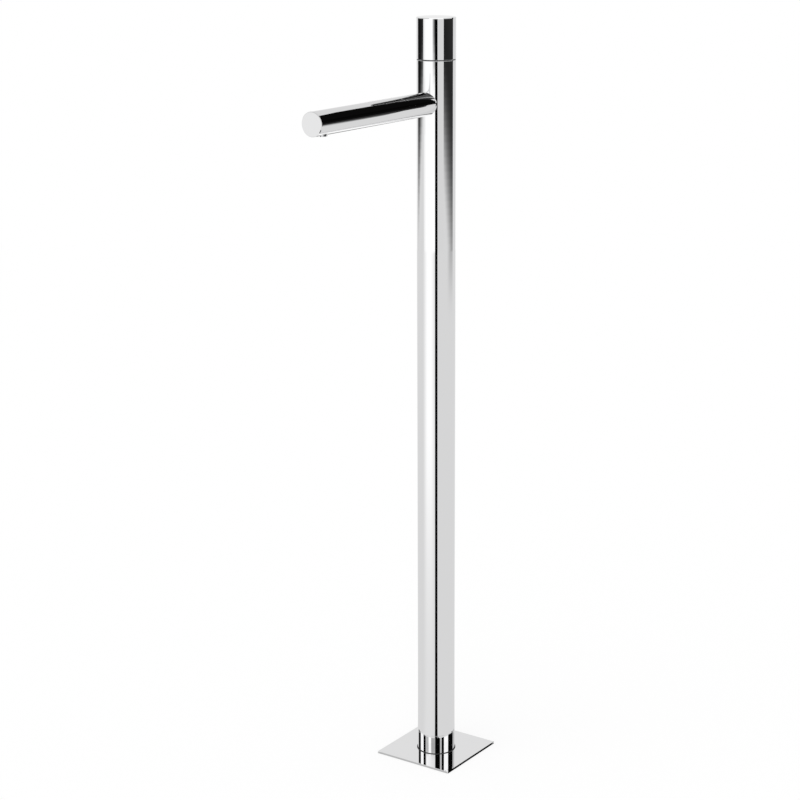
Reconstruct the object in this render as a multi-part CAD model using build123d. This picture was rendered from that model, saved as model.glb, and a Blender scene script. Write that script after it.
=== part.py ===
from build123d import *
import os
from math import cos, radians, sin

# Floor-standing basin mixer, in millimetres. The origin is on the column's axis at
# floor level, Z points up and the spout points along -Y. The user stands beyond the
# tip of the spout, so hot water is on -X and cold water on +X.

# Overall sizes
total_height = 1100.0
column_diameter = 56.0
column_wall = 2.0
spout_reach = 286.5  # from the column's axis to the face of the tip
spout_diameter = 33.0
spout_wall = 1.5
knob_height = 57.0
knob_gap = 1.5  # the open line between column and knob
plate_side = 128.0
plate_thickness = 3.0
collar_height = 29.0  # the part of the collar above the plate

# Clearances, all radial
fixed_clearance = 0.05  # between pieces that are fixed to each other
running_clearance = 0.08  # between a turning piece and its guide
loose_clearance = 0.4  # round pieces that turn freely inside the cartridge

# Edges
overshoot = 1.0  # how far a cut runs past the surface it opens
edge_break = 0.3  # the small chamfer on turned edges
knob_chamfer = 1.0
tip_chamfer = 0.8
plate_corner = 1.0
plate_edge = 0.4

# Foot
seal_width = 1.2  # the rubber ring between collar and plate
seal_lip = 0.4  # its height above the plate
seal_lift = 0.4  # its height off the floor
foot_shoulder = 2.0  # the step under the spigot that holds the collar down
spigot_length = 45.0
spigot_chamfer = 1.5
fixing_circle = 38.0
fixing_count = 4
fixing_hole_radius = 2.5  # tapping size of M6
fixing_depth = 16.0
inlet_radius = 7.475  # tapping size of a 3/8 inch pipe thread
inlet_depth = 14.0

# Locking screws, M5
screw_radius = 2.45
screw_tap_radius = 2.5
screw_pass_radius = 2.6
screw_flats = 2.5
screw_socket_depth = 2.5
screw_sink = 0.1  # the screws' outer ends lie this far below the surface
foot_screw_height = 22.0  # above the collar
foot_screw_length = 9.0
valve_screw_drop = 21.5  # below the top of the column
valve_screw_length = 7.0
screw_angles = (50.0, 130.0)  # both on the side away from the spout

# O-rings
ring_section = 0.95  # section radius
ring_sides = 8  # the round section is drawn with flats
ring_groove_depth = 1.95
ring_groove_width = 2.6
foot_ring_heights = (10.0, 35.0)  # above the collar

# Supply pipes
pipe_offset = 11.5
pipe_radius = 6.0
pipe_wall = 1.0
pipe_socket_depth = 8.0
nut_flats = 19.0
nut_head = 9.0
nut_thread_radius = 8.0
nut_thread_length = 10.0
pipe_seal_height = 3.0
spacer_height = 14.0
spacer_play = 0.5

# Valve body
seat_depth = 41.5  # from the top of the column down to the cartridge's seat
outlet_drop = 18.0  # from the seat down to the spout's axis
valve_drop = 37.0  # from the spout's axis down to the bottom of the body
gallery_radius = 4.0
gallery_margin = 10.0  # solid height left between a gallery and the cartridge
port_radius = 3.5
port_depth = 15.0
port_x = 9.5
port_y = 5.0
outlet_radius = 5.0
spigot_rise = 10.5  # the body's ring that stands up into the knob

# Spout
nipple_radius = 9.0
nipple_thread_radius = 9.5
nipple_thread_length = 12.0
nipple_length = 24.0  # outside the column
nipple_end_gap = 1.0
nipple_rings = (15.0, 20.0)  # out from the column
spout_screw_offset = 8.0
spout_screw_length = 7.0
socket_length = 40.0
socket_floor = 5.0  # between the nipple and the water tube
tube_socket_depth = 8.0
cap_thickness = 2.5
cap_spigot = 4.5
housing_length = 29.5

# Aerator
aerator_inset = 19.0  # from the tip to its axis
aerator_rim_radius = 9.5
aerator_rim_height = 3.0
aerator_body_radius = 8.4
aerator_body_height = 7.5
aerator_wall = 1.4
aerator_drop = 0.4  # below the lowest line of the spout
aerator_seal_height = 1.5
aerator_hole_clearance = 0.3
insert_recess = 0.8
insert_floor = 2.0
insert_wall = 1.3
cell_radius = 0.95
cell_pitch = 1.1  # half the distance between neighbouring cells

# Cartridge, from its seat upwards
cartridge_radius = 17.5
cartridge_base_height = 6.0
channel_depth = 3.0
fixed_disc_height = 4.5
moving_disc_height = 5.0
carrier_height = 6.3
carrier_play = 0.2
disc_radius = 13.4
flange_radius = 11.0
flange_height = 4.0
washer_height = 1.0
housing_height = 30.0  # from the base to the shoulder under the nut
neck_radius = 13.3
neck_height = 12.0
stem_radius = 6.3
stem_rings = (4.0, 9.0)  # above the washer
pin_radius = 1.5
pin_length = 2.0
pin_offset = 9.5
pin_clearance = 0.1
pin_hole_extra = 0.5
port_seal_width = 1.3
port_seal_height = 1.2
nut_height = 8.0
nut_step = 1.6  # the nut's thread is this much wider than the cartridge
nut_slots = 6
nut_slot_width = 3.0
nut_slot_depth = 2.5

# Turning of the knob, in degrees
opening_turn = 120.0
port_spread = 56.0  # between the cold and the hot port
port_half_angle = 22.0
recess_half_angle = 28.0
closed_lead = 58.0  # the recess lies this far before the cold port when closed
lug_half_angle = 12.0
stop_play = 1.0
slot_inner_radius = 6.5
slot_outer_radius = 11.5
recess_centre_radius = 4.2
recess_depth = 2.0
dog_width = 4.0
dog_depth = 2.0
dog_inner_radius = 8.5
hex_flats = 12.0
hex_depth = 4.5

# Knob
knob_wall = 3.0
knob_roof = 4.0
boss_radius = 12.0
boss_length = 38.0
spline_teeth = 20
spline_tip_radius = 5.0
spline_root_radius = 4.4
spline_length = 20.0
spline_drop = 12.0  # from the knob's roof down to the top of the spindle
adapter_radius = 7.5
adapter_cover = 2.0
knob_screw_length = 7.0
knob_screw_rise = 12.0  # above the boss's lower end
access_radius = 3.0
plug_length = 2.4
guide_wall = 1.8
guide_flange = 1.0
guide_inset = 1.0  # the guide ring's flange ends this far inside the column's face
guide_height = 8.0

# Sizes that follow from those above
column_radius = column_diameter / 2
column_bore = column_radius - column_wall
column_top = total_height - knob_height - knob_gap
collar_top = plate_thickness + collar_height
spigot_radius = column_bore - fixed_clearance
foot_radius = spigot_radius - foot_shoulder
foot_top = collar_top + spigot_length
port_length = nut_thread_length + pipe_seal_height + pipe_socket_depth
seat = column_top - seat_depth
spout_height = seat - outlet_drop
valve_bottom = spout_height - valve_drop
spout_radius = spout_diameter / 2
spout_bore = spout_radius - spout_wall
liner_radius = spout_bore - fixed_clearance
tip_start = spout_reach - cap_thickness
housing_end = tip_start - cap_spigot
housing_start = housing_end - housing_length
aerator_axis = spout_reach - aerator_inset
aerator_bottom = spout_height - spout_radius - aerator_drop
tube_start = column_radius + nipple_length + nipple_end_gap + socket_floor
base_top = seat + cartridge_base_height
fixed_disc_top = base_top + fixed_disc_height
moving_disc_top = fixed_disc_top + moving_disc_height
flange_bottom = moving_disc_top + carrier_height + carrier_play
flange_top = flange_bottom + flange_height
washer_top = flange_top + washer_height
shoulder = base_top + housing_height
neck_top = shoulder + neck_height
nut_bore = cartridge_radius + fixed_clearance + nut_step
cold_angle = 90 - port_spread / 2
hot_angle = 90 + port_spread / 2
closed_angle = cold_angle - closed_lead
knob_bottom = column_top + knob_gap
knob_bore = column_radius - knob_wall
roof_bottom = total_height - knob_roof
spindle_top = roof_bottom - spline_drop
spline_bottom = spindle_top - spline_length
boss_bottom = roof_bottom - boss_length
guide_radius = knob_bore - running_clearance
ring_radius = guide_radius - guide_wall - fixed_clearance

# A frame on the spout: its Z runs from the column's axis to the tip, its Y is up.
spout_frame = Plane(origin=(0, 0, spout_height), x_dir=(1, 0, 0), z_dir=(0, -1, 0))


# Shapes that several pieces use
def rod(radius, bottom, top):
    return Pos(0, 0, bottom) * extrude(Circle(radius), top - bottom)


def tube(outer_radius, inner_radius, bottom, top):
    return rod(outer_radius, bottom, top) - rod(inner_radius, bottom, top)


def turned(*outline):
    return revolve(Plane.XZ * Polygon(*outline, align=None), Axis.Z)


def ring_sector(inner_radius, outer_radius, bottom, top, middle_angle, half_angle):
    outline = (
        (inner_radius, bottom),
        (outer_radius, bottom),
        (outer_radius, top),
        (inner_radius, top),
    )
    section = Plane.XZ * Polygon(*outline, align=None)
    return Rot(0, 0, middle_angle - half_angle) * revolve(section, Axis.Z, 2 * half_angle)


def groove(surface_radius, middle_height):
    half = ring_groove_width / 2
    return tube(
        surface_radius + overshoot,
        surface_radius - ring_groove_depth,
        middle_height - half,
        middle_height + half,
    )


def o_ring(surface_radius, middle_height):
    middle_radius = surface_radius - ring_groove_depth + ring_section
    section = RegularPolygon(ring_section, ring_sides, major_radius=False, rotation=180 / ring_sides)
    return revolve(Plane.XZ * Pos(middle_radius, middle_height) * section, Axis.Z)


def radially(shape, angle, height):
    return Rot(0, 0, angle) * Pos(0, 0, height) * Rot(0, 90, 0) * shape


def radial_hole(radius, start, end, angle, height):
    return radially(rod(radius, start, end), angle, height)


def locking_screw(start, end):
    socket = extrude(RegularPolygon(screw_flats / 2, 6, major_radius=False), screw_socket_depth)
    return rod(screw_radius, start, end) - Pos(0, 0, end - screw_socket_depth) * socket


def spline_section(extra_radius):
    pitch = 360 / spline_teeth
    root = spline_root_radius + extra_radius
    tip = spline_tip_radius + extra_radius
    points = []
    for tooth in range(spline_teeth):
        for radius, share in ((root, -0.30), (tip, -0.15), (tip, 0.15), (root, 0.30)):
            angle = radians(pitch * (tooth + share))
            points.append((radius * cos(angle), radius * sin(angle)))
    return Polygon(*points, align=None)


# Floor plate and foot
def floor_plate():
    plate = extrude(RectangleRounded(plate_side, plate_side, plate_corner), plate_thickness)
    plate = chamfer(plate.faces().sort_by(Axis.Z)[-1].edges(), plate_edge)
    return plate - rod(column_radius + seal_width, 0, plate_thickness)


def plate_seal_ring():
    return tube(
        column_radius + seal_width - fixed_clearance,
        column_radius + fixed_clearance,
        seal_lift,
        plate_thickness + seal_lip,
    )


def base_collar():
    bore = foot_radius + fixed_clearance
    return turned(
        (bore, 0),
        (column_radius, 0),
        (column_radius, collar_top - edge_break),
        (column_radius - edge_break, collar_top),
        (bore, collar_top),
    )


def pipe_port():
    # Cut from its mouth at zero height upwards: thread, seal, then the pipe's socket.
    wide = rod(nut_thread_radius + fixed_clearance, 0, nut_thread_length + pipe_seal_height)
    return wide + rod(pipe_radius + fixed_clearance, 0, port_length)


def base_body():
    body = turned(
        (0, 0),
        (foot_radius, 0),
        (foot_radius, collar_top),
        (spigot_radius, collar_top),
        (spigot_radius, foot_top - spigot_chamfer),
        (spigot_radius - spigot_chamfer, foot_top),
        (0, foot_top),
    )
    for height in foot_ring_heights:
        body -= groove(spigot_radius, collar_top + height)
    for place in PolarLocations(fixing_circle / 2, fixing_count, start_angle=180 / fixing_count):
        body -= place * rod(fixing_hole_radius, 0, fixing_depth)
    for side in (-1, 1):
        passage = rod(inlet_radius, 0, inlet_depth) + rod(pipe_radius - pipe_wall, 0, foot_top)
        body -= Pos(side * pipe_offset, 0, 0) * passage
        body -= Pos(side * pipe_offset, 0, foot_top) * Rot(180, 0, 0) * pipe_port()
    start = column_radius - screw_sink - foot_screw_length
    for angle in screw_angles:
        height = collar_top + foot_screw_height
        body -= radial_hole(screw_tap_radius, start, column_radius, angle, height)
    return body


def base_o_rings():
    return [o_ring(spigot_radius, collar_top + height) for height in foot_ring_heights]


def foot_screws():
    end = column_radius - screw_sink
    screw = locking_screw(end - foot_screw_length, end)
    return [radially(screw, angle, collar_top + foot_screw_height) for angle in screw_angles]


# Column and supply pipes
def column_tube():
    body = turned(
        (column_bore, collar_top),
        (column_radius - edge_break, collar_top),
        (column_radius, collar_top + edge_break),
        (column_radius, column_top - edge_break),
        (column_radius - edge_break, column_top),
        (column_bore, column_top),
    )
    body -= spout_frame * rod(nipple_thread_radius + fixed_clearance, 0, column_radius + overshoot)
    for height in (collar_top + foot_screw_height, column_top - valve_screw_drop):
        for angle in screw_angles:
            body -= radial_hole(screw_pass_radius, 0, column_radius + overshoot, angle, height)
    return body


def supply_pipe(side):
    pipe = tube(pipe_radius, pipe_radius - pipe_wall, foot_top - port_length, valve_bottom + port_length)
    return Pos(side * pipe_offset, 0, 0) * pipe


def pipe_nut():
    head = Pos(0, 0, -nut_head) * extrude(RegularPolygon(nut_flats / 2, 6, major_radius=False), nut_head)
    nut = head + rod(nut_thread_radius, 0, nut_thread_length)
    return nut - rod(pipe_radius + fixed_clearance, -nut_head, nut_thread_length)


def pipe_nuts_lower():
    turn = Pos(0, 0, foot_top) * Rot(180, 0, 0)
    return [Pos(side * pipe_offset, 0, 0) * turn * pipe_nut() for side in (-1, 1)]


def pipe_nuts_upper():
    return [Pos(side * pipe_offset, 0, valve_bottom) * pipe_nut() for side in (-1, 1)]


def pipe_seals():
    seal_bottoms = (
        foot_top - nut_thread_length - pipe_seal_height,
        valve_bottom + nut_thread_length,
    )
    seals = []
    for bottom in seal_bottoms:
        ring = tube(
            nut_thread_radius,
            pipe_radius + fixed_clearance,
            bottom,
            bottom + pipe_seal_height,
        )
        seals += [Pos(side * pipe_offset, 0, 0) * ring for side in (-1, 1)]
    return seals


def pipe_spacer():
    middle = (foot_top + valve_bottom) / 2
    spacer = rod(column_bore - spacer_play, middle - spacer_height / 2, middle + spacer_height / 2)
    for side in (-1, 1):
        hole = rod(pipe_radius + fixed_clearance, middle - spacer_height, middle + spacer_height)
        spacer -= Pos(side * pipe_offset, 0, 0) * hole
    return spacer


# Valve body
def valve_body():
    body = turned(
        (0, valve_bottom),
        (spigot_radius, valve_bottom),
        (spigot_radius, column_top),
        (ring_radius, column_top),
        (ring_radius, column_top + spigot_rise),
        (nut_bore, column_top + spigot_rise),
        (nut_bore, shoulder),
        (cartridge_radius + fixed_clearance, shoulder),
        (cartridge_radius + fixed_clearance, seat),
        (0, seat),
    )
    for side in (-1, 1):
        gallery = rod(gallery_radius, valve_bottom, seat - gallery_margin)
        body -= Pos(side * pipe_offset, 0, 0) * gallery
        body -= Pos(side * pipe_offset, 0, valve_bottom) * pipe_port()
        body -= Pos(side * port_x, port_y, 0) * rod(port_radius, seat - port_depth, seat)
        pin_hole = rod(pin_radius + pin_clearance, seat - pin_length - pin_hole_extra, seat)
        body -= Pos(side * pin_offset, -pin_offset, 0) * pin_hole
    body -= rod(port_radius, spout_height, seat)
    body -= spout_frame * rod(outlet_radius, -outlet_radius, column_radius)
    thread_start = column_bore - nipple_thread_length
    body -= spout_frame * rod(nipple_thread_radius + fixed_clearance, thread_start, column_radius)
    start = column_radius - screw_sink - valve_screw_length
    for angle in screw_angles:
        body -= radial_hole(screw_tap_radius, start, column_radius, angle, column_top - valve_screw_drop)
    return body


def valve_screws():
    end = column_radius - screw_sink
    screw = locking_screw(end - valve_screw_length, end)
    return [radially(screw, angle, column_top - valve_screw_drop) for angle in screw_angles]


# Spout
def saddle():
    cut_height = spout_radius + overshoot
    return rod(column_radius + fixed_clearance, spout_height - cut_height, spout_height + cut_height)


def spout_nipple():
    start = column_bore - nipple_thread_length
    end = column_radius + nipple_length
    body = rod(nipple_thread_radius, start, column_bore)
    body += rod(nipple_radius, column_bore, end)
    body -= rod(outlet_radius, start, end)
    for offset in nipple_rings:
        body -= groove(nipple_radius, column_radius + offset)
    return spout_frame * body


def spout_o_rings():
    return [spout_frame * o_ring(nipple_radius, column_radius + offset) for offset in nipple_rings]


def spout_screw_hole(radius):
    hole = rod(radius, nipple_radius, spout_radius + overshoot)
    return spout_frame * Pos(0, 0, column_radius + spout_screw_offset) * Rot(90, 0, 0) * hole


def spout_screw():
    start = nipple_radius + fixed_clearance
    screw = locking_screw(start, start + spout_screw_length)
    return spout_frame * Pos(0, 0, column_radius + spout_screw_offset) * Rot(90, 0, 0) * screw


def spout_socket():
    body = rod(liner_radius, 0, column_radius + socket_length)
    body -= rod(nipple_radius + fixed_clearance, 0, tube_start - socket_floor)
    body -= rod(outlet_radius, 0, tube_start)
    body -= rod(pipe_radius + fixed_clearance, tube_start, column_radius + socket_length)
    return spout_frame * body - saddle() - spout_screw_hole(screw_tap_radius)


def spout_tube():
    body = spout_frame * tube(spout_radius, spout_bore, 0, tip_start)
    hole = rod(aerator_rim_radius + aerator_hole_clearance, aerator_bottom, spout_height)
    return body - saddle() - Pos(0, -aerator_axis, 0) * hole - spout_screw_hole(screw_pass_radius)


def spout_water_tube():
    end = housing_start + tube_socket_depth
    return spout_frame * tube(pipe_radius, pipe_radius - pipe_wall, tube_start, end)


def spout_end_cap():
    cap = turned(
        (0, housing_end),
        (liner_radius, housing_end),
        (liner_radius, tip_start),
        (spout_radius, tip_start),
        (spout_radius, spout_reach - tip_chamfer),
        (spout_radius - tip_chamfer, spout_reach),
        (0, spout_reach),
    )
    return spout_frame * cap


# Aerator
def aerator_housing():
    body = rod(liner_radius, housing_start, housing_end)
    body -= rod(pipe_radius + fixed_clearance, housing_start, housing_start + tube_socket_depth)
    body -= rod(pipe_radius - pipe_wall, housing_start, aerator_axis)
    rim_top = aerator_bottom + aerator_rim_height
    body_top = rim_top + aerator_body_height + aerator_seal_height
    well = rod(aerator_rim_radius + fixed_clearance, aerator_bottom, rim_top)
    well += rod(aerator_body_radius + fixed_clearance, aerator_bottom, body_top)
    well += rod(pipe_radius - pipe_wall, aerator_bottom, spout_height)
    return spout_frame * body - Pos(0, -aerator_axis, 0) * well


def aerator_shell():
    bore = aerator_body_radius - aerator_wall
    rim_top = aerator_bottom + aerator_rim_height
    shell = turned(
        (bore, aerator_bottom),
        (aerator_rim_radius - edge_break, aerator_bottom),
        (aerator_rim_radius, aerator_bottom + edge_break),
        (aerator_rim_radius, rim_top),
        (aerator_body_radius, rim_top),
        (aerator_body_radius, rim_top + aerator_body_height),
        (bore, rim_top + aerator_body_height),
    )
    return Pos(0, -aerator_axis, 0) * shell


def aerator_insert():
    radius = aerator_body_radius - aerator_wall - fixed_clearance
    bottom = aerator_bottom + insert_recess
    top = aerator_bottom + aerator_rim_height + aerator_body_height
    insert = rod(radius, bottom, top) - rod(radius - insert_wall, bottom + insert_floor, top)
    cell = extrude(RegularPolygon(cell_radius, 6), insert_floor)
    for place in HexLocations(cell_pitch, 7, 7):
        if place.position.length + cell_radius < radius - insert_wall:
            insert -= Pos(0, 0, bottom) * place * cell
    return Pos(0, -aerator_axis, 0) * insert


def aerator_seal():
    bottom = aerator_bottom + aerator_rim_height + aerator_body_height
    ring = tube(aerator_body_radius, pipe_radius - pipe_wall, bottom, bottom + aerator_seal_height)
    return Pos(0, -aerator_axis, 0) * ring


# Cartridge
def cartridge_base():
    body = rod(cartridge_radius, seat, base_top)
    body -= rod(port_radius, seat, base_top)
    body -= rod(port_radius + port_seal_width, seat, seat + port_seal_height)
    for angle in (cold_angle, hot_angle):
        body -= ring_sector(
            slot_inner_radius,
            slot_outer_radius,
            base_top - channel_depth,
            base_top,
            angle,
            port_half_angle,
        )
    for side in (-1, 1):
        port = rod(port_radius, seat, base_top - channel_depth)
        port += rod(port_radius + port_seal_width, seat, seat + port_seal_height)
        body -= Pos(side * port_x, port_y, 0) * port
        body += Pos(side * pin_offset, -pin_offset, 0) * rod(pin_radius, seat - pin_length, seat)
    return body


def cartridge_port_seals():
    seal = tube(
        port_radius + port_seal_width - fixed_clearance,
        port_radius,
        seat,
        seat + port_seal_height,
    )
    return [Pos(x, y, 0) * seal for x, y in ((0, 0), (-port_x, port_y), (port_x, port_y))]


def fixed_ceramic_disc():
    disc = rod(disc_radius, base_top, fixed_disc_top) - rod(port_radius, base_top, fixed_disc_top)
    for angle in (cold_angle, hot_angle):
        disc -= ring_sector(
            slot_inner_radius,
            slot_outer_radius,
            base_top,
            fixed_disc_top,
            angle,
            port_half_angle,
        )
    return disc


def cartridge_housing():
    body = turned(
        (disc_radius + loose_clearance, base_top),
        (cartridge_radius, base_top),
        (cartridge_radius, shoulder),
        (neck_radius, shoulder),
        (neck_radius, neck_top),
        (stem_radius + running_clearance, neck_top),
        (stem_radius + running_clearance, washer_top),
        (flange_radius + loose_clearance, washer_top),
        (flange_radius + loose_clearance, flange_bottom),
        (disc_radius + loose_clearance, flange_bottom),
    )
    # The lug's sector ends at the two stops, closed and fully hot.
    half_angle = opening_turn / 2 + lug_half_angle + stop_play
    stop_sector = ring_sector(
        flange_radius,
        disc_radius + loose_clearance,
        flange_bottom,
        flange_top + loose_clearance,
        closed_angle + opening_turn / 2,
        half_angle,
    )
    return body - stop_sector


def thrust_washer():
    return tube(flange_radius, stem_radius + loose_clearance, flange_top, washer_top)


def cartridge_nut():
    outer = nut_bore - fixed_clearance
    nut = tube(outer, neck_radius + fixed_clearance, shoulder, shoulder + nut_height)
    slot_bottom = shoulder + nut_height - nut_slot_depth
    slot = Pos(0, 0, slot_bottom) * extrude(Rectangle(2 * outer, nut_slot_width), nut_slot_depth)
    for number in range(nut_slots // 2):
        nut -= Rot(0, 0, number * 360 / nut_slots) * slot
    return nut


def guide_ring():
    inner = ring_radius + fixed_clearance
    return turned(
        (inner, column_top),
        (column_radius - guide_inset, column_top),
        (column_radius - guide_inset, column_top + guide_flange),
        (guide_radius, column_top + guide_flange),
        (guide_radius, column_top + guide_height),
        (inner, column_top + guide_height),
    )


# Pieces that turn with the knob
def dogs(clearance, bottom, top):
    width = dog_width + 2 * clearance
    pair = []
    for side in (-1, 1):
        middle = (dog_inner_radius - clearance + disc_radius) / 2
        length = disc_radius - dog_inner_radius + clearance
        block = extrude(Rectangle(length, width), top - bottom)
        pair.append(Rot(0, 0, closed_angle + 90) * Pos(side * middle, 0, bottom) * block)
    return pair


def moving_ceramic_disc():
    disc = rod(disc_radius, fixed_disc_top, moving_disc_top)
    recess_top = fixed_disc_top + recess_depth
    disc -= rod(recess_centre_radius, fixed_disc_top, recess_top)
    disc -= ring_sector(0, slot_outer_radius, fixed_disc_top, recess_top, closed_angle, recess_half_angle)
    for notch in dogs(fixed_clearance, moving_disc_top - dog_depth, moving_disc_top):
        disc -= notch
    return disc


def disc_carrier():
    top = moving_disc_top + carrier_height
    carrier = rod(disc_radius, moving_disc_top, top)
    for dog in dogs(0, moving_disc_top - dog_depth, moving_disc_top):
        carrier += dog & rod(disc_radius, moving_disc_top - dog_depth, moving_disc_top)
    hexagon = RegularPolygon(hex_flats / 2 + fixed_clearance, 6, major_radius=False)
    return carrier - Pos(0, 0, top - hex_depth) * extrude(hexagon, hex_depth)


def spindle():
    hexagon = RegularPolygon(hex_flats / 2, 6, major_radius=False)
    hex_bottom = moving_disc_top + carrier_height - hex_depth
    body = Pos(0, 0, hex_bottom) * extrude(hexagon, flange_bottom - hex_bottom)
    body += rod(flange_radius, flange_bottom, flange_top)
    body += ring_sector(0, disc_radius, flange_bottom, flange_top, closed_angle, lug_half_angle)
    body += rod(stem_radius, flange_top, spline_bottom)
    body += Pos(0, 0, spline_bottom) * extrude(spline_section(0), spline_length)
    for height in stem_rings:
        body -= groove(stem_radius, washer_top + height)
    return body


def spindle_o_rings():
    return [o_ring(stem_radius, washer_top + height) for height in stem_rings]


def knob_adapter():
    adapter = rod(adapter_radius, boss_bottom, spindle_top + adapter_cover)
    adapter -= rod(stem_radius + fixed_clearance, boss_bottom, spline_bottom)
    adapter -= Pos(0, 0, spline_bottom) * extrude(spline_section(fixed_clearance), spline_length)
    height = boss_bottom + knob_screw_rise
    return adapter - radial_hole(screw_pass_radius, 0, boss_radius, 90, height)


def knob_shell():
    adapter_bore = adapter_radius + fixed_clearance
    adapter_top = spindle_top + adapter_cover
    shell = turned(
        (0, total_height),
        (column_radius - knob_chamfer, total_height),
        (column_radius, total_height - knob_chamfer),
        (column_radius, knob_bottom + edge_break),
        (column_radius - edge_break, knob_bottom),
        (knob_bore, knob_bottom),
        (knob_bore, roof_bottom),
        (boss_radius, roof_bottom),
        (boss_radius, boss_bottom),
        (adapter_bore, boss_bottom),
        (adapter_bore, adapter_top),
        (0, adapter_top),
    )
    height = boss_bottom + knob_screw_rise
    shell -= radial_hole(screw_tap_radius, 0, boss_radius + overshoot, 90, height)
    return shell - radial_hole(access_radius, boss_radius + overshoot, column_radius + overshoot, 90, height)


def knob_screw():
    start = spline_tip_radius + fixed_clearance
    return radially(locking_screw(start, start + knob_screw_length), 90, boss_bottom + knob_screw_rise)


def knob_plug():
    end = column_radius - screw_sink
    plug = rod(access_radius - fixed_clearance, end - plug_length, end)
    return radially(plug, 90, boss_bottom + knob_screw_rise)


pieces = {
    "floor_plate": floor_plate(),
    "plate_seal_ring": plate_seal_ring(),
    "base_collar": base_collar(),
    "base_body": base_body(),
    "base_o_rings": base_o_rings(),
    "foot_locking_screws": foot_screws(),
    "column_tube": column_tube(),
    "hot_supply_pipe": supply_pipe(-1),
    "cold_supply_pipe": supply_pipe(1),
    "pipe_nuts_lower": pipe_nuts_lower(),
    "pipe_nuts_upper": pipe_nuts_upper(),
    "pipe_seals": pipe_seals(),
    "pipe_spacer": pipe_spacer(),
    "valve_body": valve_body(),
    "valve_locking_screws": valve_screws(),
    "spout_nipple": spout_nipple(),
    "spout_o_rings": spout_o_rings(),
    "spout_socket": spout_socket(),
    "spout_locking_screw": spout_screw(),
    "spout_tube": spout_tube(),
    "spout_water_tube": spout_water_tube(),
    "spout_end_cap": spout_end_cap(),
    "aerator_housing": aerator_housing(),
    "aerator_shell": aerator_shell(),
    "aerator_insert": aerator_insert(),
    "aerator_seal": aerator_seal(),
    "cartridge_base": cartridge_base(),
    "cartridge_port_seals": cartridge_port_seals(),
    "fixed_ceramic_disc": fixed_ceramic_disc(),
    "cartridge_housing": cartridge_housing(),
    "thrust_washer": thrust_washer(),
    "cartridge_nut": cartridge_nut(),
    "guide_ring": guide_ring(),
    "moving_ceramic_disc": moving_ceramic_disc(),
    "disc_carrier": disc_carrier(),
    "spindle": spindle(),
    "spindle_o_rings": spindle_o_rings(),
    "knob_adapter": knob_adapter(),
    "knob_locking_screw": knob_screw(),
    "knob_plug": knob_plug(),
    "knob_shell": knob_shell(),
}

os.makedirs("parts", exist_ok=True)
for name, piece in pieces.items():
    if isinstance(piece, list):
        piece = Compound(children=piece)
    export_step(piece, f"parts/{name}.step")
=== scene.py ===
import math
import bpy
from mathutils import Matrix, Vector


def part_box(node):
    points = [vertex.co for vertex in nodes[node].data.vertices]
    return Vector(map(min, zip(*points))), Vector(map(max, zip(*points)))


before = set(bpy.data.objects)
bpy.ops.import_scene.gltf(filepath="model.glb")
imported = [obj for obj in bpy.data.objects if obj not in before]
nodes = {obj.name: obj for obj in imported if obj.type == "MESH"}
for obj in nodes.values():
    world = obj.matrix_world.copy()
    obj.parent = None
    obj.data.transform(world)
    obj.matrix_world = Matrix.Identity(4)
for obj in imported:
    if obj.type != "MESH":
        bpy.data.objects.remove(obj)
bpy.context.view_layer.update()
print("frame loaded")

cameraSetup = {
    "azimuth": 34.04,    # degrees from the front, -Y, towards +X
    "distance": 2.826,   # level, from the column's axis
    "height": 1.320,
    "tilt": 15.23,       # downwards
    "lens": 90.59,
    "sideShift": -0.0453,
    "clip": (0.05, 60),
}


def towards(azimuth):
    angle = math.radians(azimuth)
    return Vector((math.sin(angle), -math.cos(angle), 0))


def makeCamera():
    data = bpy.data.cameras.new("camera")
    data.lens = cameraSetup["lens"]
    data.shift_x = cameraSetup["sideShift"]
    data.clip_start, data.clip_end = cameraSetup["clip"]
    camera = bpy.data.objects.new("camera", data)
    bpy.context.scene.collection.objects.link(camera)
    level = towards(cameraSetup["azimuth"])
    camera.location = level * cameraSetup["distance"] + Vector((0, 0, cameraSetup["height"]))
    tilt = math.radians(cameraSetup["tilt"])
    back = level * math.cos(tilt) + Vector((0, 0, math.sin(tilt)))
    camera.rotation_mode = "QUATERNION"
    camera.rotation_quaternion = back.to_track_quat("Z", "Y")
    bpy.context.scene.camera = camera


makeCamera()
bpy.context.scene.view_settings.view_transform = "Standard"
print("camera placed")


# Helpers for shader nodes
def isSocket(value):
    return isinstance(value, bpy.types.NodeSocket)


def addNode(tree, kind, **settings):
    node = tree.nodes.new(kind)
    for name, value in settings.items():
        setattr(node, name, value)
    return node


def fill(node, **values):
    # Sets sockets by name, with underscores for spaces; an output is linked, a value is set.
    for name, value in values.items():
        socket = node.inputs[name.replace("_", " ")]
        if isSocket(value):
            node.id_data.links.new(value, socket)
        else:
            socket.default_value = value
    return node


def fillInOrder(node, *values):
    # The same by the sockets' order.
    for place, value in enumerate(values):
        if isSocket(value):
            node.id_data.links.new(value, node.inputs[place])
        else:
            node.inputs[place].default_value = value
    return node


def emptyMaterial(name):
    material = bpy.data.materials.new(name)
    material.use_nodes = True
    material.node_tree.nodes.clear()
    return material, material.node_tree


def calculate(tree, operation, *values):
    return fillInOrder(addNode(tree, "ShaderNodeMath", operation=operation), *values).outputs[0]


def remap(tree, value, fromLow, fromHigh, toLow=0.0, toHigh=1.0):
    node = addNode(tree, "ShaderNodeMapRange", interpolation_type="SMOOTHSTEP")
    fill(node, Value=value, From_Min=fromLow, From_Max=fromHigh, To_Min=toLow, To_Max=toHigh)
    return node.outputs["Result"]


def mixShaders(tree, share, first, second):
    return fillInOrder(addNode(tree, "ShaderNodeMixShader"), share, first, second).outputs[0]


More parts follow.
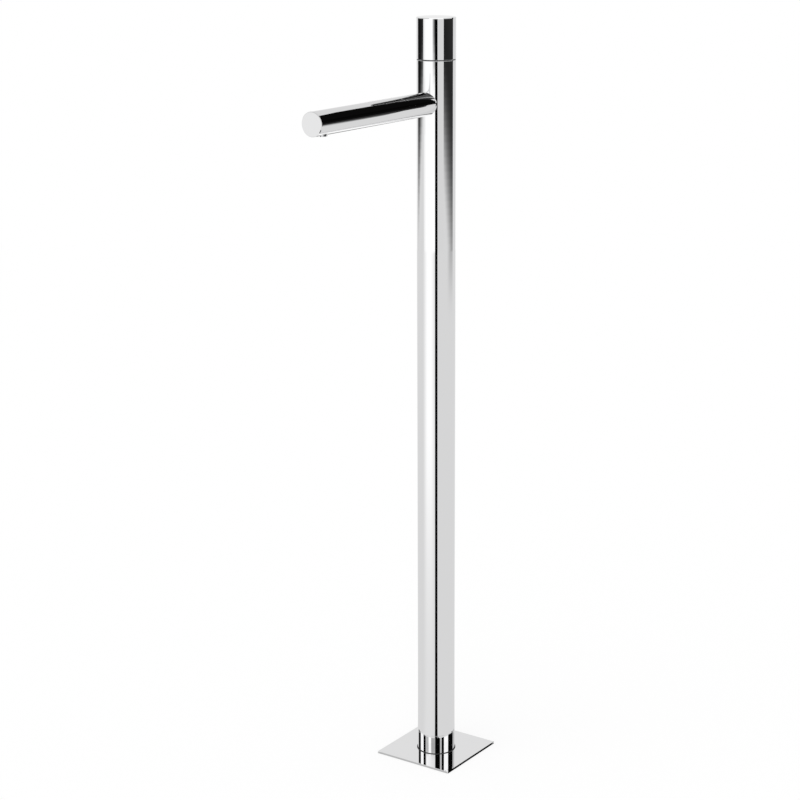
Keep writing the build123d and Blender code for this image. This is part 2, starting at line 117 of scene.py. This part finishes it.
# The studio: a pale floor, a round wall of boards and a ceiling. The camera and soft light see
# it plain white; polished metal sees the boards. The boards and the ceiling are painted
# reflections: they glow for reflections alone, light nothing and are no lamps. Angles count
# from the camera's side of the object, towards the camera's right, in degrees. Shades go from
# 0 to 255, as the metal shows them.
studio = {
    "radius": 4.0,
    "height": 4.6,
    "sides": 96,               # of the ceiling and the floor
    "stepAngle": 0.5,          # the wall's faces
    "stepHeight": 0.025,
    "wallShade": 213,          # where no board hangs
    "crownFade": (0.95, 1.5),  # heights between which the boards on the floor fade away
    "secondFrom": 1.5,         # glossy bounces above this make a second reflection
}
metalShare = 0.93              # how much light the polished metal gives back


def light(shade):
    # The strength that renders as the shade, by the sRGB curve.
    share = shade / 255
    linear = share / 12.92 if share <= 0.04045 else ((share + 0.055) / 1.055) ** 2.4
    return linear / metalShare


def board(start, end, low, high, shade, endShade=None, fade=None, endFade=None, into=None):
    # A board of the wall: a painted reflection, a patch of glow that only reflections show. Its
    # shade may change from one side to the other, and it may fade into another shade towards the
    # floor, between the two heights of fade.
    return {
        "start": start,
        "end": end,
        "low": low,
        "high": high,
        "shades": (shade, shade if endShade is None else endShade),
        "fades": (fade, endFade or fade),
        "into": studio["wallShade"] if into is None else into,
    }


boards = [
    # Painted reflections, seen in any reflection
    board(176, 184, 0, 0.8, 25),
    board(156, 204, 1.1, 1.65, 232),   # on the knob's top
    board(156, 204, 1.65, 2.2, 221),   # on the plate
    # The dark flag that the spout shows, a painted reflection
    board(99, 113, 0.95, 1.65, 10),
    board(99, 125, 1.65, 2.2, 6),
    board(99, 143.5, 2.2, 4.25, 10),
    # Painted reflections that the upper column and the knob show
    board(-71, -67, 0.4, 0.6, 230),
    board(-128.5, -79, 0, 1.5, 12, 40, fade=(-0.05, 0.5), endFade=(0.45, 0.85)),
    board(-79, -62, 0, 1.5, 228, 255),
    board(-62, -22, 0, 1.5, 255),
    board(-22, -7.2, 0, 1.5, 235, 60, fade=(0.52, 0.76), into=255),
    board(-7.2, 7.4, 0, 1.5, 5),
    board(7.4, 43, 0, 1.5, 212),
    board(43, 110.5, 0, 1.5, 30, 44, fade=(0.19, 0.76), endFade=(-0.42, 0.5)),
    board(-176, -150, 0, 1.5, 245),
    board(150, 176, 0, 1.5, 245),
]
# Painted reflections that show only in a second reflection, as the foot's in the plate
relayedBoards = [
    # The painted stripes that the foot shows
    board(-143, -113, 1.65, 2.2, 2),
    board(-113, -87, 1.65, 2.2, 255),
    board(-87, -70, 1.65, 2.2, 2),
    board(-70, -49, 1.65, 1.875, 184),
    board(-49, -32, 1.65, 1.875, 255),
    board(-32, -7, 1.65, 1.875, 168),
    board(-70, -65, 1.875, 2.2, 184),
    board(-65, -7, 1.875, 2.2, 255, 225),
    board(-7, 23.5, 1.65, 2.2, 4),
    board(23.5, 34, 1.65, 2.2, 190),
    board(34, 49.5, 1.65, 2.2, 2),
    board(49.5, 79.5, 1.65, 2.2, 255),
    board(79.5, 99, 1.65, 2.2, 3),
    board(125, 156, 1.65, 2.2, 176, 195),
    # The painted streaks on top of the spout, where it meets the column
    board(-176, -128, 2.2, 4.1, 70),
    board(-128, -120, 2.2, 4.1, 185),
    board(-120, -97, 2.2, 4.1, 25),
    board(-97, -90, 2.2, 4.1, 140),
    board(-90, -62, 2.2, 4.1, 14),
    board(-62, -30, 2.6, 4.1, 8),
    board(-30, -24, 2.9, 4.1, 130),
    board(-24, -12, 2.9, 4.1, 12),
    board(-12, -4, 2.9, 4.1, 120),
    board(-4, 14, 2.9, 4.1, 30),
    board(14, 20, 2.9, 4.1, 150),
    board(20, 34, 2.9, 4.1, 25),
    board(34, 44, 2.9, 4.1, 200),
    board(44, 58, 2.9, 4.1, 70),
    board(58, 74, 2.9, 4.1, 20),
    board(74, 99, 2.9, 4.1, 70),
]


def smoothStep(low, high, value):
    share = min(max((value - low) / (high - low), 0.0), 1.0)
    return share * share * (3 - 2 * share)


def blendOf(pair, share):
    return pair[0] + (pair[1] - pair[0]) * share


def shadeAt(hung, angle, height):
    for piece in hung:
        across = (angle - piece["start"]) % 360
        width = piece["end"] - piece["start"]
        if across >= width or not piece["low"] <= height < piece["high"]:
            continue
        share = across / width
        shade = blendOf(piece["shades"], share)
        if piece["fades"][0]:
            low = blendOf([fade[0] for fade in piece["fades"]], share)
            high = blendOf([fade[1] for fade in piece["fades"]], share)
            shade = piece["into"] + (shade - piece["into"]) * smoothStep(low, high, height)
        if piece["low"] == 0:   # it stands on the floor
            shade += (studio["wallShade"] - shade) * smoothStep(*studio["crownFade"], height)
        return shade
    return studio["wallShade"]


def addStage(mesh, material):
    obj = bpy.data.objects.new(mesh.name, mesh)
    bpy.context.scene.collection.objects.link(obj)
    obj.data.materials.append(material)
    return obj


def addGlowing(name, verts, faces, shades):
    # A stage mesh that only reflections see: its glow is painted reflection and lights nothing.
    # Each face has two shades: for a first reflection, and for a reflection seen in another.
    mesh = bpy.data.meshes.new(name)
    mesh.from_pydata(verts, [], faces)
    material, tree = emptyMaterial(name)
    glows = []
    for place, title in enumerate(("firstGlow", "laterGlow")):
        layer = mesh.attributes.new(title, "FLOAT", "FACE")
        layer.data.foreach_set("value", [light(pair[place]) for pair in shades])
        glows.append(addNode(tree, "ShaderNodeAttribute", attribute_name=title).outputs["Fac"])
    bounces = addNode(tree, "ShaderNodeLightPath").outputs["Glossy Depth"]
    later = calculate(tree, "GREATER_THAN", bounces, studio["secondFrom"])
    change = calculate(tree, "SUBTRACT", glows[1], glows[0])
    amount = calculate(tree, "MULTIPLY_ADD", later, change, glows[0])
    emission = fill(addNode(tree, "ShaderNodeEmission"), Strength=amount)
    fill(addNode(tree, "ShaderNodeOutputMaterial"), Surface=emission.outputs[0])
    obj = addStage(mesh, material)
    obj.visible_camera = False
    obj.visible_diffuse = False
    obj.visible_transmission = False
    obj.visible_shadow = False


def makeWall():
    columns = round(360 / studio["stepAngle"])
    rows = round(studio["height"] / studio["stepHeight"])
    verts, faces, shades = [], [], []
    for row in range(rows + 1):
        for column in range(columns):
            angle = cameraSetup["azimuth"] + column * studio["stepAngle"]
            place = towards(angle) * studio["radius"]
            verts.append((place.x, place.y, row * studio["stepHeight"]))
    for row in range(rows):
        for column in range(columns):
            after = (column + 1) % columns
            below, above = row * columns, (row + 1) * columns
            faces.append((below + column, below + after, above + after, above + column))
            # A face takes the shades of its middle
            angle = (column + 0.5) * studio["stepAngle"]
            height = (row + 0.5) * studio["stepHeight"]
            first = shadeAt(boards, angle, height)
            shades.append((first, shadeAt(relayedBoards + boards, angle, height)))
    addGlowing("studioWall", verts, faces, shades)


# The ceiling's glow, seen only in reflections, is painted reflection
ceiling = {
    "shade": 200,
    "laterShade": 40,        # painted shade in a second reflection, on top of the spout
    "paintedHighlightRadius": 1.4,    # a painted highlight above the object, not a lamp
    "paintedHighlightShade": 255,
}


def makeCeiling():
    sides = studio["sides"]
    verts = [(0, 0, studio["height"])]
    for radius in (ceiling["paintedHighlightRadius"], studio["radius"]):
        for side in range(sides):
            place = towards(side * 360 / sides) * radius
            verts.append((place.x, place.y, studio["height"]))
    paintedHighlight = (ceiling["paintedHighlightShade"], ceiling["paintedHighlightShade"])
    around = (ceiling["shade"], ceiling["laterShade"])
    faces, shades = [], []
    for side in range(sides):
        after = (side + 1) % sides
        faces.append((0, 1 + side, 1 + after))
        shades.append(paintedHighlight)
        faces.append((1 + side, 1 + sides + side, 1 + sides + after, 1 + after))
        shades.append(around)
    addGlowing("studioCeiling", verts, faces, shades)


# The floor, with the shades that polished metal sees on it: a painted reflection, as the camera
# sees the floor plain white. A rise and a fall give the angles between which a part comes and
# goes. Those for the rear count on both sides of the object.
floor = {
    "shade": 213,
    "nearShade": 221,           # on the camera's left, beside the object
    "farShade": 255,
    "farRange": (0.1, 1.9),     # how far off it turns from near to far
    "leftRise": (-90, -50),
    "leftFall": (-34, 4),
    "rearRise": (148, 164),
    "rearFall": (166, 178),
    "rightShade": 178,          # painted shade at the foot of the dark board on the right
    "rightRise": (62, 92),
    "rightFall": (109, 111),
    "rightRange": (2.9, 4.1),
    "strip": (-7.2, 7.4),       # a painted dark strip that runs towards the camera
    "stripEdge": 0.4,
    "stripGlow": 0.003,         # what the strip leaves of the floor's light
    "rearStripRise": (176, 177),   # a painted grey strip that runs to the rear
    "rearStripShade": 120,
    "sheenRadius": 0.0915,      # the floor mirrors right beside the plate
    "sheenColor": (0.98, 0.98, 0.98, 1),
    "margin": 0.3,              # how far the floor runs on under the wall
    "drop": 0.0002,             # leaves the underside of the plate in view from below
    "shadowShare": 0.3,
}


def between(tree, angle, rise, fall):
    return calculate(tree, "MULTIPLY", remap(tree, angle, *rise), remap(tree, angle, *fall, 1, 0))


def floorGlow(tree, distance, angle):
    # A painted reflection: brighter away from the object on the camera's left and behind it,
    # darker at the foot of the dark board on the right, with a dark strip towards the camera and a
    # grey one to the rear.
    turn = calculate(tree, "ABSOLUTE", angle)
    plain, near, bright = (light(floor[key]) for key in ("shade", "nearShade", "farShade"))
    far = remap(tree, distance, *floor["farRange"])
    left = calculate(tree, "MULTIPLY_ADD", far, bright - near, near - plain)
    leftSide = between(tree, angle, floor["leftRise"], floor["leftFall"])
    left = calculate(tree, "MULTIPLY", left, leftSide)
    rear = between(tree, turn, floor["rearRise"], floor["rearFall"])
    rear = calculate(tree, "MULTIPLY", rear, bright - plain)
    glow = calculate(tree, "ADD", plain, calculate(tree, "MAXIMUM", left, rear))
    right = between(tree, angle, floor["rightRise"], floor["rightFall"])
    right = calculate(tree, "MULTIPLY", right, remap(tree, distance, *floor["rightRange"]))
    glow = calculate(tree, "MULTIPLY_ADD", right, light(floor["rightShade"]) - plain, glow)
    start, end = floor["strip"]
    edge = floor["stripEdge"]
    before = remap(tree, angle, start - edge, start + edge, 1, 0)
    after = remap(tree, angle, end - edge, end + edge)
    outside = calculate(tree, "MAXIMUM", before, after)
    outside = calculate(tree, "MAXIMUM", outside, floor["stripGlow"])
    glow = calculate(tree, "MULTIPLY", glow, outside)
    glow = calculate(tree, "MULTIPLY", glow, remap(tree, turn, *floor["rearStripRise"], 1, 0))
    rearStrip = remap(tree, turn, *floor["rearStripRise"])
    return calculate(tree, "MULTIPLY_ADD", rearStrip, light(floor["rearStripShade"]), glow)


def floorMaterial():
    material, tree = emptyMaterial("studioFloor")
    place = addNode(tree, "ShaderNodeTexCoord").outputs["Object"]
    length = addNode(tree, "ShaderNodeVectorMath", operation="LENGTH")
    distance = fillInOrder(length, place).outputs["Value"]
    # Turned so that angles count from the camera's side of the object
    turned = addNode(tree, "ShaderNodeVectorRotate", rotation_type="Z_AXIS")
    fill(turned, Vector=place, Angle=math.radians(90 - cameraSetup["azimuth"]))
    split = fillInOrder(addNode(tree, "ShaderNodeSeparateXYZ"), turned.outputs[0]).outputs
    angle = calculate(tree, "DEGREES", calculate(tree, "ARCTAN2", split["Y"], split["X"]))
    glow = floorGlow(tree, distance, angle)
    seen = fill(addNode(tree, "ShaderNodeEmission"), Strength=glow).outputs[0]
    sheen = addNode(tree, "ShaderNodeBsdfGlossy")
    fill(sheen, Color=floor["sheenColor"], Roughness=0.0)
    # The sheen lies outside the plate's edge, so that the plate's underside stays pale
    beside = calculate(tree, "LESS_THAN", distance, floor["sheenRadius"])
    flat = fillInOrder(addNode(tree, "ShaderNodeSeparateXYZ"), place).outputs
    reach = calculate(tree, "MAXIMUM", *(calculate(tree, "ABSOLUTE", flat[axis]) for axis in "XY"))
    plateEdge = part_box("floor_plate")[1][0]
    outside = calculate(tree, "GREATER_THAN", reach, plateEdge)
    beside = calculate(tree, "MULTIPLY", beside, outside)
    reflected = mixShaders(tree, beside, seen, sheen.outputs[0])
    # White paint that takes a faint shadow
    paint = fill(addNode(tree, "ShaderNodeBsdfDiffuse"), Color=(1, 1, 1, 1)).outputs[0]
    white = addNode(tree, "ShaderNodeEmission").outputs[0]
    plain = mixShaders(tree, floor["shadowShare"], white, paint)
    # Reflections see the painted floor; the camera and soft light see the white paint
    glossyRay = addNode(tree, "ShaderNodeLightPath").outputs["Is Glossy Ray"]
    upper = mixShaders(tree, glossyRay, plain, reflected)
    # Open from below, so that the underside of the plate shows
    fromBelow = addNode(tree, "ShaderNodeNewGeometry").outputs["Backfacing"]
    clear = addNode(tree, "ShaderNodeBsdfTransparent").outputs[0]
    surface = mixShaders(tree, fromBelow, upper, clear)
    fill(addNode(tree, "ShaderNodeOutputMaterial"), Surface=surface)
    return material


def makeFloor():
    radius = studio["radius"] + floor["margin"]
    verts = []
    for side in range(studio["sides"]):
        place = towards(side * 360 / studio["sides"]) * radius
        verts.append((place.x, place.y, -floor["drop"]))
    mesh = bpy.data.meshes.new("studioFloor")
    mesh.from_pydata(verts, [], [tuple(range(studio["sides"]))])
    addStage(mesh, floorMaterial())


lighting = {
    "softLight": 0.85,    # from all round
    "sunShare": 0.15,
    "sunTilt": 35,
    "sunTurn": -40,       # from the camera's side, here towards its left
    "sunSpread": 60,
}


def makeLight():
    world = bpy.data.worlds.new("studioWorld")
    world.use_nodes = True
    tree = world.node_tree
    path = addNode(tree, "ShaderNodeLightPath").outputs
    plain = calculate(tree, "MAXIMUM", path["Is Camera Ray"], path["Is Glossy Ray"])
    plain = calculate(tree, "MAXIMUM", plain, path["Is Transmission Ray"])
    soft = lighting["softLight"]
    strength = calculate(tree, "MULTIPLY_ADD", plain, 1 - soft, soft)
    fill(tree.nodes["Background"], Color=(1, 1, 1, 1), Strength=strength)
    bpy.context.scene.world = world
    tilt = math.radians(lighting["sunTilt"])
    data = bpy.data.lights.new("softLamp", "SUN")
    data.angle = math.radians(lighting["sunSpread"])
    data.energy = lighting["sunShare"] * math.pi / math.cos(tilt)
    lamp = bpy.data.objects.new("softLamp", data)
    bpy.context.scene.collection.objects.link(lamp)
    turn = math.radians(cameraSetup["azimuth"] + lighting["sunTurn"])
    lamp.rotation_euler = (tilt, 0, turn)
    lamp.visible_glossy = False


makeLight()
makeFloor()
makeWall()
makeCeiling()
print("studio built")


# Effects that the finishes share. Each takes a place on the piece, in metres.
noiseRange = (0.3, 0.7)   # nearly all of a noise's values lie between these


def makeGroup(name, numbers, outputs):
    group = bpy.data.node_groups.new(name, "ShaderNodeTree")
    group.interface.new_socket("Place", in_out="INPUT", socket_type="NodeSocketVector")
    for title, value in numbers.items():
        socket = group.interface.new_socket(title, in_out="INPUT", socket_type="NodeSocketFloat")
        socket.default_value = value
    for title in outputs:
        group.interface.new_socket(title, in_out="OUTPUT", socket_type="NodeSocketFloat")
    given = group.nodes.new("NodeGroupInput").outputs
    result = group.nodes.new("NodeGroupOutput")
    return group, given, result


def noise(tree, place, scale, detail, distortion=0.0):
    node = addNode(tree, "ShaderNodeTexNoise")
    fill(node, Vector=place, Scale=scale, Detail=detail, Distortion=distortion)
    return node.outputs["Fac"]


def stretched(tree, place, turn, scale):
    node = addNode(tree, "ShaderNodeMapping")
    fill(node, Vector=place, Rotation=turn, Scale=scale)
    return node.outputs[0]


def peaks(tree, value, start, drop, amount, edge):
    # The value's high parts. The amount lowers the start, and so lets more of them through.
    limit = calculate(tree, "SUBTRACT", start, calculate(tree, "MULTIPLY", amount, drop))
    return remap(tree, value, limit, calculate(tree, "ADD", limit, edge))


handlingSetup = {
    "detail": 4.0,
    "distortion": 0.8,
    "start": 0.8,
    "drop": 0.4,
    "edge": 0.2,
    "strokeTurn": (0.5, 0.3, 0.4),
    "strokeStretch": (1, 1, 0.2),
    "strokeScale": 140.0,
    "strokeDetail": 2.0,
    "faintest": 0.4,       # what is left of a patch between the strokes
}


def makeHandlingMarks():
    # Faint wiped patches, as cloths and hands leave on a polished surface.
    setup = handlingSetup
    numbers = {"Patch Scale": 12.0, "Coverage": 0.5}
    group, given, result = makeGroup("handlingMarks", numbers, ["Patches"])
    place = given["Place"]
    patches = noise(group, place, given["Patch Scale"], setup["detail"], setup["distortion"])
    amount = given["Coverage"]
    patches = peaks(group, patches, setup["start"], setup["drop"], amount, setup["edge"])
    strokes = stretched(group, place, setup["strokeTurn"], setup["strokeStretch"])
    strokes = noise(group, strokes, setup["strokeScale"], setup["strokeDetail"])
    strokes = remap(group, strokes, *noiseRange, setup["faintest"], 1.0)
    fill(result, Patches=calculate(group, "MULTIPLY", patches, strokes))
    return group


hairlineSetup = {
    "turns": ((0.2, 0.4, 0.3), (1.3, 0.2, -0.7), (-0.6, 1.1, 0.5)),
    "stretch": (1, 1, 0.012),
    "detail": 1.0,
    "lineRange": (0.66, 0.72),
    "breakScale": 60.0,        # a second noise breaks the lines up
    "breakRange": (0.5, 0.6),
}


def makeHairlines():
    # Fine scratches in three directions.
    setup = hairlineSetup
    numbers = {"Line Scale": 900.0, "Amount": 0.5}
    group, given, result = makeGroup("hairlines", numbers, ["Height", "Lines"])
    lines = 0.0
    for turn in setup["turns"]:
        line = stretched(group, given["Place"], turn, setup["stretch"])
        line = noise(group, line, given["Line Scale"], setup["detail"])
        line = remap(group, line, *setup["lineRange"])
        broken = stretched(group, given["Place"], turn, (1, 1, 1))
        broken = noise(group, broken, setup["breakScale"], setup["detail"])
        broken = remap(group, broken, *setup["breakRange"])
        line = calculate(group, "MULTIPLY", line, broken)
        lines = calculate(group, "MAXIMUM", lines, line)
    lines = calculate(group, "MULTIPLY", lines, given["Amount"])
    fill(result, Height=calculate(group, "SUBTRACT", 1.0, lines), Lines=lines)
    return group


turningSetup = {
    "detail": 2.0,
    "broadScale": 0.2,         # of the broad rings, as a share of the fine rings' scale
    "broadHeight": 0.5,
}


def makeTurningMarks():
    # The rings that a lathe leaves round the Z axis of the place.
    setup = turningSetup
    numbers = {"Ring Scale": 2500.0}
    group, given, result = makeGroup("turningMarks", numbers, ["Height", "Rings"])
    split = fillInOrder(addNode(group, "ShaderNodeSeparateXYZ"), given["Place"]).outputs
    flat = fill(addNode(group, "ShaderNodeCombineXYZ"), X=split["X"], Y=split["Y"]).outputs[0]
    length = addNode(group, "ShaderNodeVectorMath", operation="LENGTH")
    radius = fillInOrder(length, flat).outputs["Value"]
    spread = fill(addNode(group, "ShaderNodeCombineXYZ"), X=radius, Y=split["Z"]).outputs[0]
    fine = noise(group, spread, given["Ring Scale"], setup["detail"])
    broadScale = calculate(group, "MULTIPLY", given["Ring Scale"], setup["broadScale"])
    broad = noise(group, spread, broadScale, setup["detail"])
    height = calculate(group, "MULTIPLY_ADD", broad, setup["broadHeight"], fine)
    fill(result, Height=height, Rings=broad)
    return group


grainSetup = {
    "detail": 4.0,
    "speckScale": 0.35,        # as a share of the grain's scale
    "speckDetail": 1.0,
    "speckStart": 0.85,
    "speckDrop": 0.25,
    "speckEdge": 0.06,
    "cloudScale": 90.0,
    "cloudDetail": 3.0,
    "cloudDistortion": 0.5,
}


def makeGrain():
    # A fine overall texture with sparse specks and broad clouds on it.
    setup = grainSetup
    numbers = {"Grain Scale": 3000.0, "Specks": 0.5}
    group, given, result = makeGroup("grain", numbers, ["Height", "Dust", "Cloud"])
    place = given["Place"]
    height = noise(group, place, given["Grain Scale"], setup["detail"])
    speckScale = calculate(group, "MULTIPLY", given["Grain Scale"], setup["speckScale"])
    dust = noise(group, place, speckScale, setup["speckDetail"])
    start, drop, edge = setup["speckStart"], setup["speckDrop"], setup["speckEdge"]
    dust = peaks(group, dust, start, drop, given["Specks"], edge)
    detail, distortion = setup["cloudDetail"], setup["cloudDistortion"]
    cloud = noise(group, place, setup["cloudScale"], detail, distortion)
    fill(result, Height=height, Dust=dust, Cloud=cloud)
    return group


handlingMarks = makeHandlingMarks()
hairlines = makeHairlines()
turningMarks = makeTurningMarks()
grain = makeGrain()
print("effects built")


def useGroup(tree, group, place, values):
    node = addNode(tree, "ShaderNodeGroup", node_tree=group)
    fill(node, Place=place, **values)
    return node.outputs


def withSpecks(tree, mask, dust, share):
    return calculate(tree, "MAXIMUM", mask, calculate(tree, "MULTIPLY", dust, share))


mixSockets = {"first": 6, "second": 7, "result": 2}   # the Mix node's sockets for colors


def mixColors(tree, share, first, second):
    node = fillInOrder(addNode(tree, "ShaderNodeMix", data_type="RGBA"), share)
    node.inputs[mixSockets["first"]].default_value = (*first, 1)
    node.inputs[mixSockets["second"]].default_value = (*second, 1)
    return node.outputs[mixSockets["result"]]


def bump(tree, height, strength, depth):
    node = addNode(tree, "ShaderNodeBump")
    return fill(node, Height=height, Strength=strength, Distance=depth).outputs[0]


def finish(tree, **values):
    shader = fill(addNode(tree, "ShaderNodeBsdfPrincipled"), **values)
    fill(addNode(tree, "ShaderNodeOutputMaterial"), Surface=shader.outputs[0])


def placeOnPiece(tree):
    return addNode(tree, "ShaderNodeTexCoord").outputs["Object"]


# A relief gives a bump's strength, and its depth in metres. A range gives a noise's limits, and
# then what they become in the mask.
chrome = {
    "color": (0.93, 0.93, 0.935),
    "wipedColor": (0.905, 0.91, 0.92),
    "roughness": 0.022,
    "wipedRoughness": 0.034,
    "scratchedRoughness": 0.05,
    "relief": (0.25, 0.0000003),
    "patches": {"Patch Scale": 11.0, "Coverage": 0.45},
    "scratches": {"Line Scale": 1400.0, "Amount": 0.6},
}


def polishedChrome():
    material, tree = emptyMaterial("polishedChrome")
    place = placeOnPiece(tree)
    patches = useGroup(tree, handlingMarks, place, chrome["patches"])["Patches"]
    scratches = useGroup(tree, hairlines, place, chrome["scratches"])
    rough = remap(tree, patches, 0.0, 1.0, chrome["roughness"], chrome["wipedRoughness"])
    lined = calculate(tree, "MULTIPLY", scratches["Lines"], chrome["scratchedRoughness"])
    finish(
        tree,
        Base_Color=mixColors(tree, patches, chrome["color"], chrome["wipedColor"]),
        Metallic=1.0,
        Roughness=calculate(tree, "MAXIMUM", rough, lined),
        Normal=bump(tree, scratches["Height"], *chrome["relief"]),
    )
    return material


brass = {
    "color": (0.74, 0.56, 0.27),
    "tarnish": (0.56, 0.40, 0.18),
    "tarnishRange": (0.45, 0.75, 0.0, 0.55),
    "speckShare": 0.5,
    "roughness": (0.20, 0.38),
    "relief": (0.35, 0.00002),
    "rings": {"Ring Scale": 2600.0},
    "grain": {"Grain Scale": 1800.0, "Specks": 0.4},
}


def turnedBrass(name, axisPoint, alongSpout):
    # The rings run round the piece's own axis: upright, or along the spout.
    material, tree = emptyMaterial(name)
    place = addNode(tree, "ShaderNodeMapping", vector_type="TEXTURE")
    turn = (math.radians(90), 0, 0) if alongSpout else (0, 0, 0)
    fill(place, Vector=placeOnPiece(tree), Location=axisPoint, Rotation=turn)
    rings = useGroup(tree, turningMarks, place.outputs[0], brass["rings"])
    skin = useGroup(tree, grain, place.outputs[0], brass["grain"])
    stained = remap(tree, skin["Cloud"], *brass["tarnishRange"])
    stained = withSpecks(tree, stained, skin["Dust"], brass["speckShare"])
    finish(
        tree,
        Base_Color=mixColors(tree, stained, brass["color"], brass["tarnish"]),
        Metallic=1.0,
        Roughness=remap(tree, rings["Rings"], *noiseRange, *brass["roughness"]),
        Normal=bump(tree, rings["Height"], *brass["relief"]),
    )
    return material


steel = {
    "color": (0.64, 0.635, 0.62),
    "dullColor": (0.42, 0.415, 0.41),
    "dullRange": (0.4, 0.7, 0.0, 0.6),
    "roughness": (0.24, 0.44),
    "relief": (0.3, 0.00001),
    "grain": {"Grain Scale": 2600.0, "Specks": 0.6},
}


def stainlessScrew():
    material, tree = emptyMaterial("stainlessScrew")
    skin = useGroup(tree, grain, placeOnPiece(tree), steel["grain"])
    dulled = remap(tree, skin["Cloud"], *steel["dullRange"])
    finish(
        tree,
        Base_Color=mixColors(tree, dulled, steel["color"], steel["dullColor"]),
        Metallic=1.0,
        Roughness=remap(tree, skin["Height"], *noiseRange, *steel["roughness"]),
        Normal=bump(tree, skin["Height"], *steel["relief"]),
    )
    return material


tube = {
    "color": (0.62, 0.62, 0.63),
    "streakColor": (0.48, 0.48, 0.49),
    "streakStretch": (1, 1, 0.01),
    "streakScale": 1500.0,
    "streakDetail": 3.0,
    "streakRange": (0.45, 0.7, 0.0, 0.8),
    "roughness": (0.26, 0.40),
    "relief": (0.3, 0.000008),
    "patches": {"Patch Scale": 20.0, "Coverage": 0.7},
}


def supplyTube():
    # Drawn tube: streaks along its length.
    material, tree = emptyMaterial("supplyTube")
    place = placeOnPiece(tree)
    drawn = stretched(tree, place, (0, 0, 0), tube["streakStretch"])
    drawn = noise(tree, drawn, tube["streakScale"], tube["streakDetail"])
    patches = useGroup(tree, handlingMarks, place, tube["patches"])["Patches"]
    streaks = remap(tree, drawn, *tube["streakRange"])
    shade = calculate(tree, "MAXIMUM", streaks, patches)
    finish(
        tree,
        Base_Color=mixColors(tree, shade, tube["color"], tube["streakColor"]),
        Metallic=1.0,
        Roughness=remap(tree, drawn, *noiseRange, *tube["roughness"]),
        Normal=bump(tree, drawn, *tube["relief"]),
    )
    return material


rubber = {
    "color": (0.018, 0.018, 0.019),
    "bloom": (0.075, 0.073, 0.07),
    "bloomRange": (0.45, 0.8, 0.0, 0.35),
    "speckShare": 0.6,
    "roughness": (0.58, 0.82),
    "relief": (0.4, 0.00003),
    "grain": {"Grain Scale": 2200.0, "Specks": 0.7},
}


def blackRubber():
    material, tree = emptyMaterial("blackRubber")
    skin = useGroup(tree, grain, placeOnPiece(tree), rubber["grain"])
    bloom = remap(tree, skin["Cloud"], *rubber["bloomRange"])
    bloom = withSpecks(tree, bloom, skin["Dust"], rubber["speckShare"])
    finish(
        tree,
        Base_Color=mixColors(tree, bloom, rubber["color"], rubber["bloom"]),
        Roughness=remap(tree, skin["Height"], *noiseRange, *rubber["roughness"]),
        Normal=bump(tree, skin["Height"], *rubber["relief"]),
    )
    return material


plastic = {
    "color": (0.058, 0.058, 0.062),
    "paleColor": (0.085, 0.085, 0.09),
    "paleRange": (0.35, 0.7, 0.0, 0.7),
    "roughness": (0.34, 0.50),
    "relief": (0.25, 0.00001),
    "grain": {"Grain Scale": 3200.0, "Specks": 0.2},
    "scuffs": {"Line Scale": 1100.0, "Amount": 0.8},
}


def acetal():
    material, tree = emptyMaterial("acetal")
    place = placeOnPiece(tree)
    skin = useGroup(tree, grain, place, plastic["grain"])
    scuffs = useGroup(tree, hairlines, place, plastic["scuffs"])["Lines"]
    pale = remap(tree, skin["Cloud"], *plastic["paleRange"])
    pale = calculate(tree, "MAXIMUM", pale, scuffs)
    finish(
        tree,
        Base_Color=mixColors(tree, pale, plastic["color"], plastic["paleColor"]),
        Roughness=remap(tree, skin["Height"], *noiseRange, *plastic["roughness"]),
        Normal=bump(tree, skin["Height"], *plastic["relief"]),
    )
    return material


ceramic = {
    "color": (0.88, 0.87, 0.84),
    "rubbedColor": (0.74, 0.735, 0.72),
    "rubbedRange": (0.55, 0.75, 0.0, 0.5),
    "speckShare": 0.4,
    "roughness": (0.20, 0.36),
    "relief": (0.2, 0.000004),
    "rings": {"Ring Scale": 3200.0},
    "grain": {"Grain Scale": 2800.0, "Specks": 0.4},
}


def alumina():
    # Lapped discs, rubbed grey in arcs where they slide on each other.
    material, tree = emptyMaterial("alumina")
    place = placeOnPiece(tree)
    arcs = useGroup(tree, turningMarks, place, ceramic["rings"])
    skin = useGroup(tree, grain, place, ceramic["grain"])
    rubbed = remap(tree, arcs["Rings"], *ceramic["rubbedRange"])
    rubbed = withSpecks(tree, rubbed, skin["Dust"], ceramic["speckShare"])
    finish(
        tree,
        Base_Color=mixColors(tree, rubbed, ceramic["color"], ceramic["rubbedColor"]),
        Roughness=remap(tree, skin["Height"], *noiseRange, *ceramic["roughness"]),
        Normal=bump(tree, arcs["Height"], *ceramic["relief"]),
    )
    return material


def middleOf(name):
    low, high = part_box(name)
    return (Vector(low) + Vector(high)) / 2


def paintNodes():
    spoutAxis = middleOf("spout_tube")
    outlet = middleOf("aerator_housing")
    brassBySide = {
        "column": turnedBrass("turnedBrassColumn", (0, 0, 0), False),
        "spout": turnedBrass("turnedBrassSpout", (spoutAxis.x, 0, spoutAxis.z), True),
        "outlet": turnedBrass("turnedBrassOutlet", (outlet.x, outlet.y, 0), False),
    }
    brassPlaces = {"spout_nipple": "spout", "spout_socket": "spout", "aerator_housing": "outlet"}
    finishes = {
        "polished_chrome": polishedChrome(),
        "stainless_screw": stainlessScrew(),
        "supply_tube": supplyTube(),
        "black_rubber": blackRubber(),
        "acetal": acetal(),
        "alumina": alumina(),
    }
    for name, node in nodes.items():
        slot = node.data.materials[0].name.split(".")[0]
        paint = finishes.get(slot) or brassBySide[brassPlaces.get(name, "column")]
        for place in range(len(node.data.materials)):
            node.data.materials[place] = paint


paintNodes()
print("finishes set")
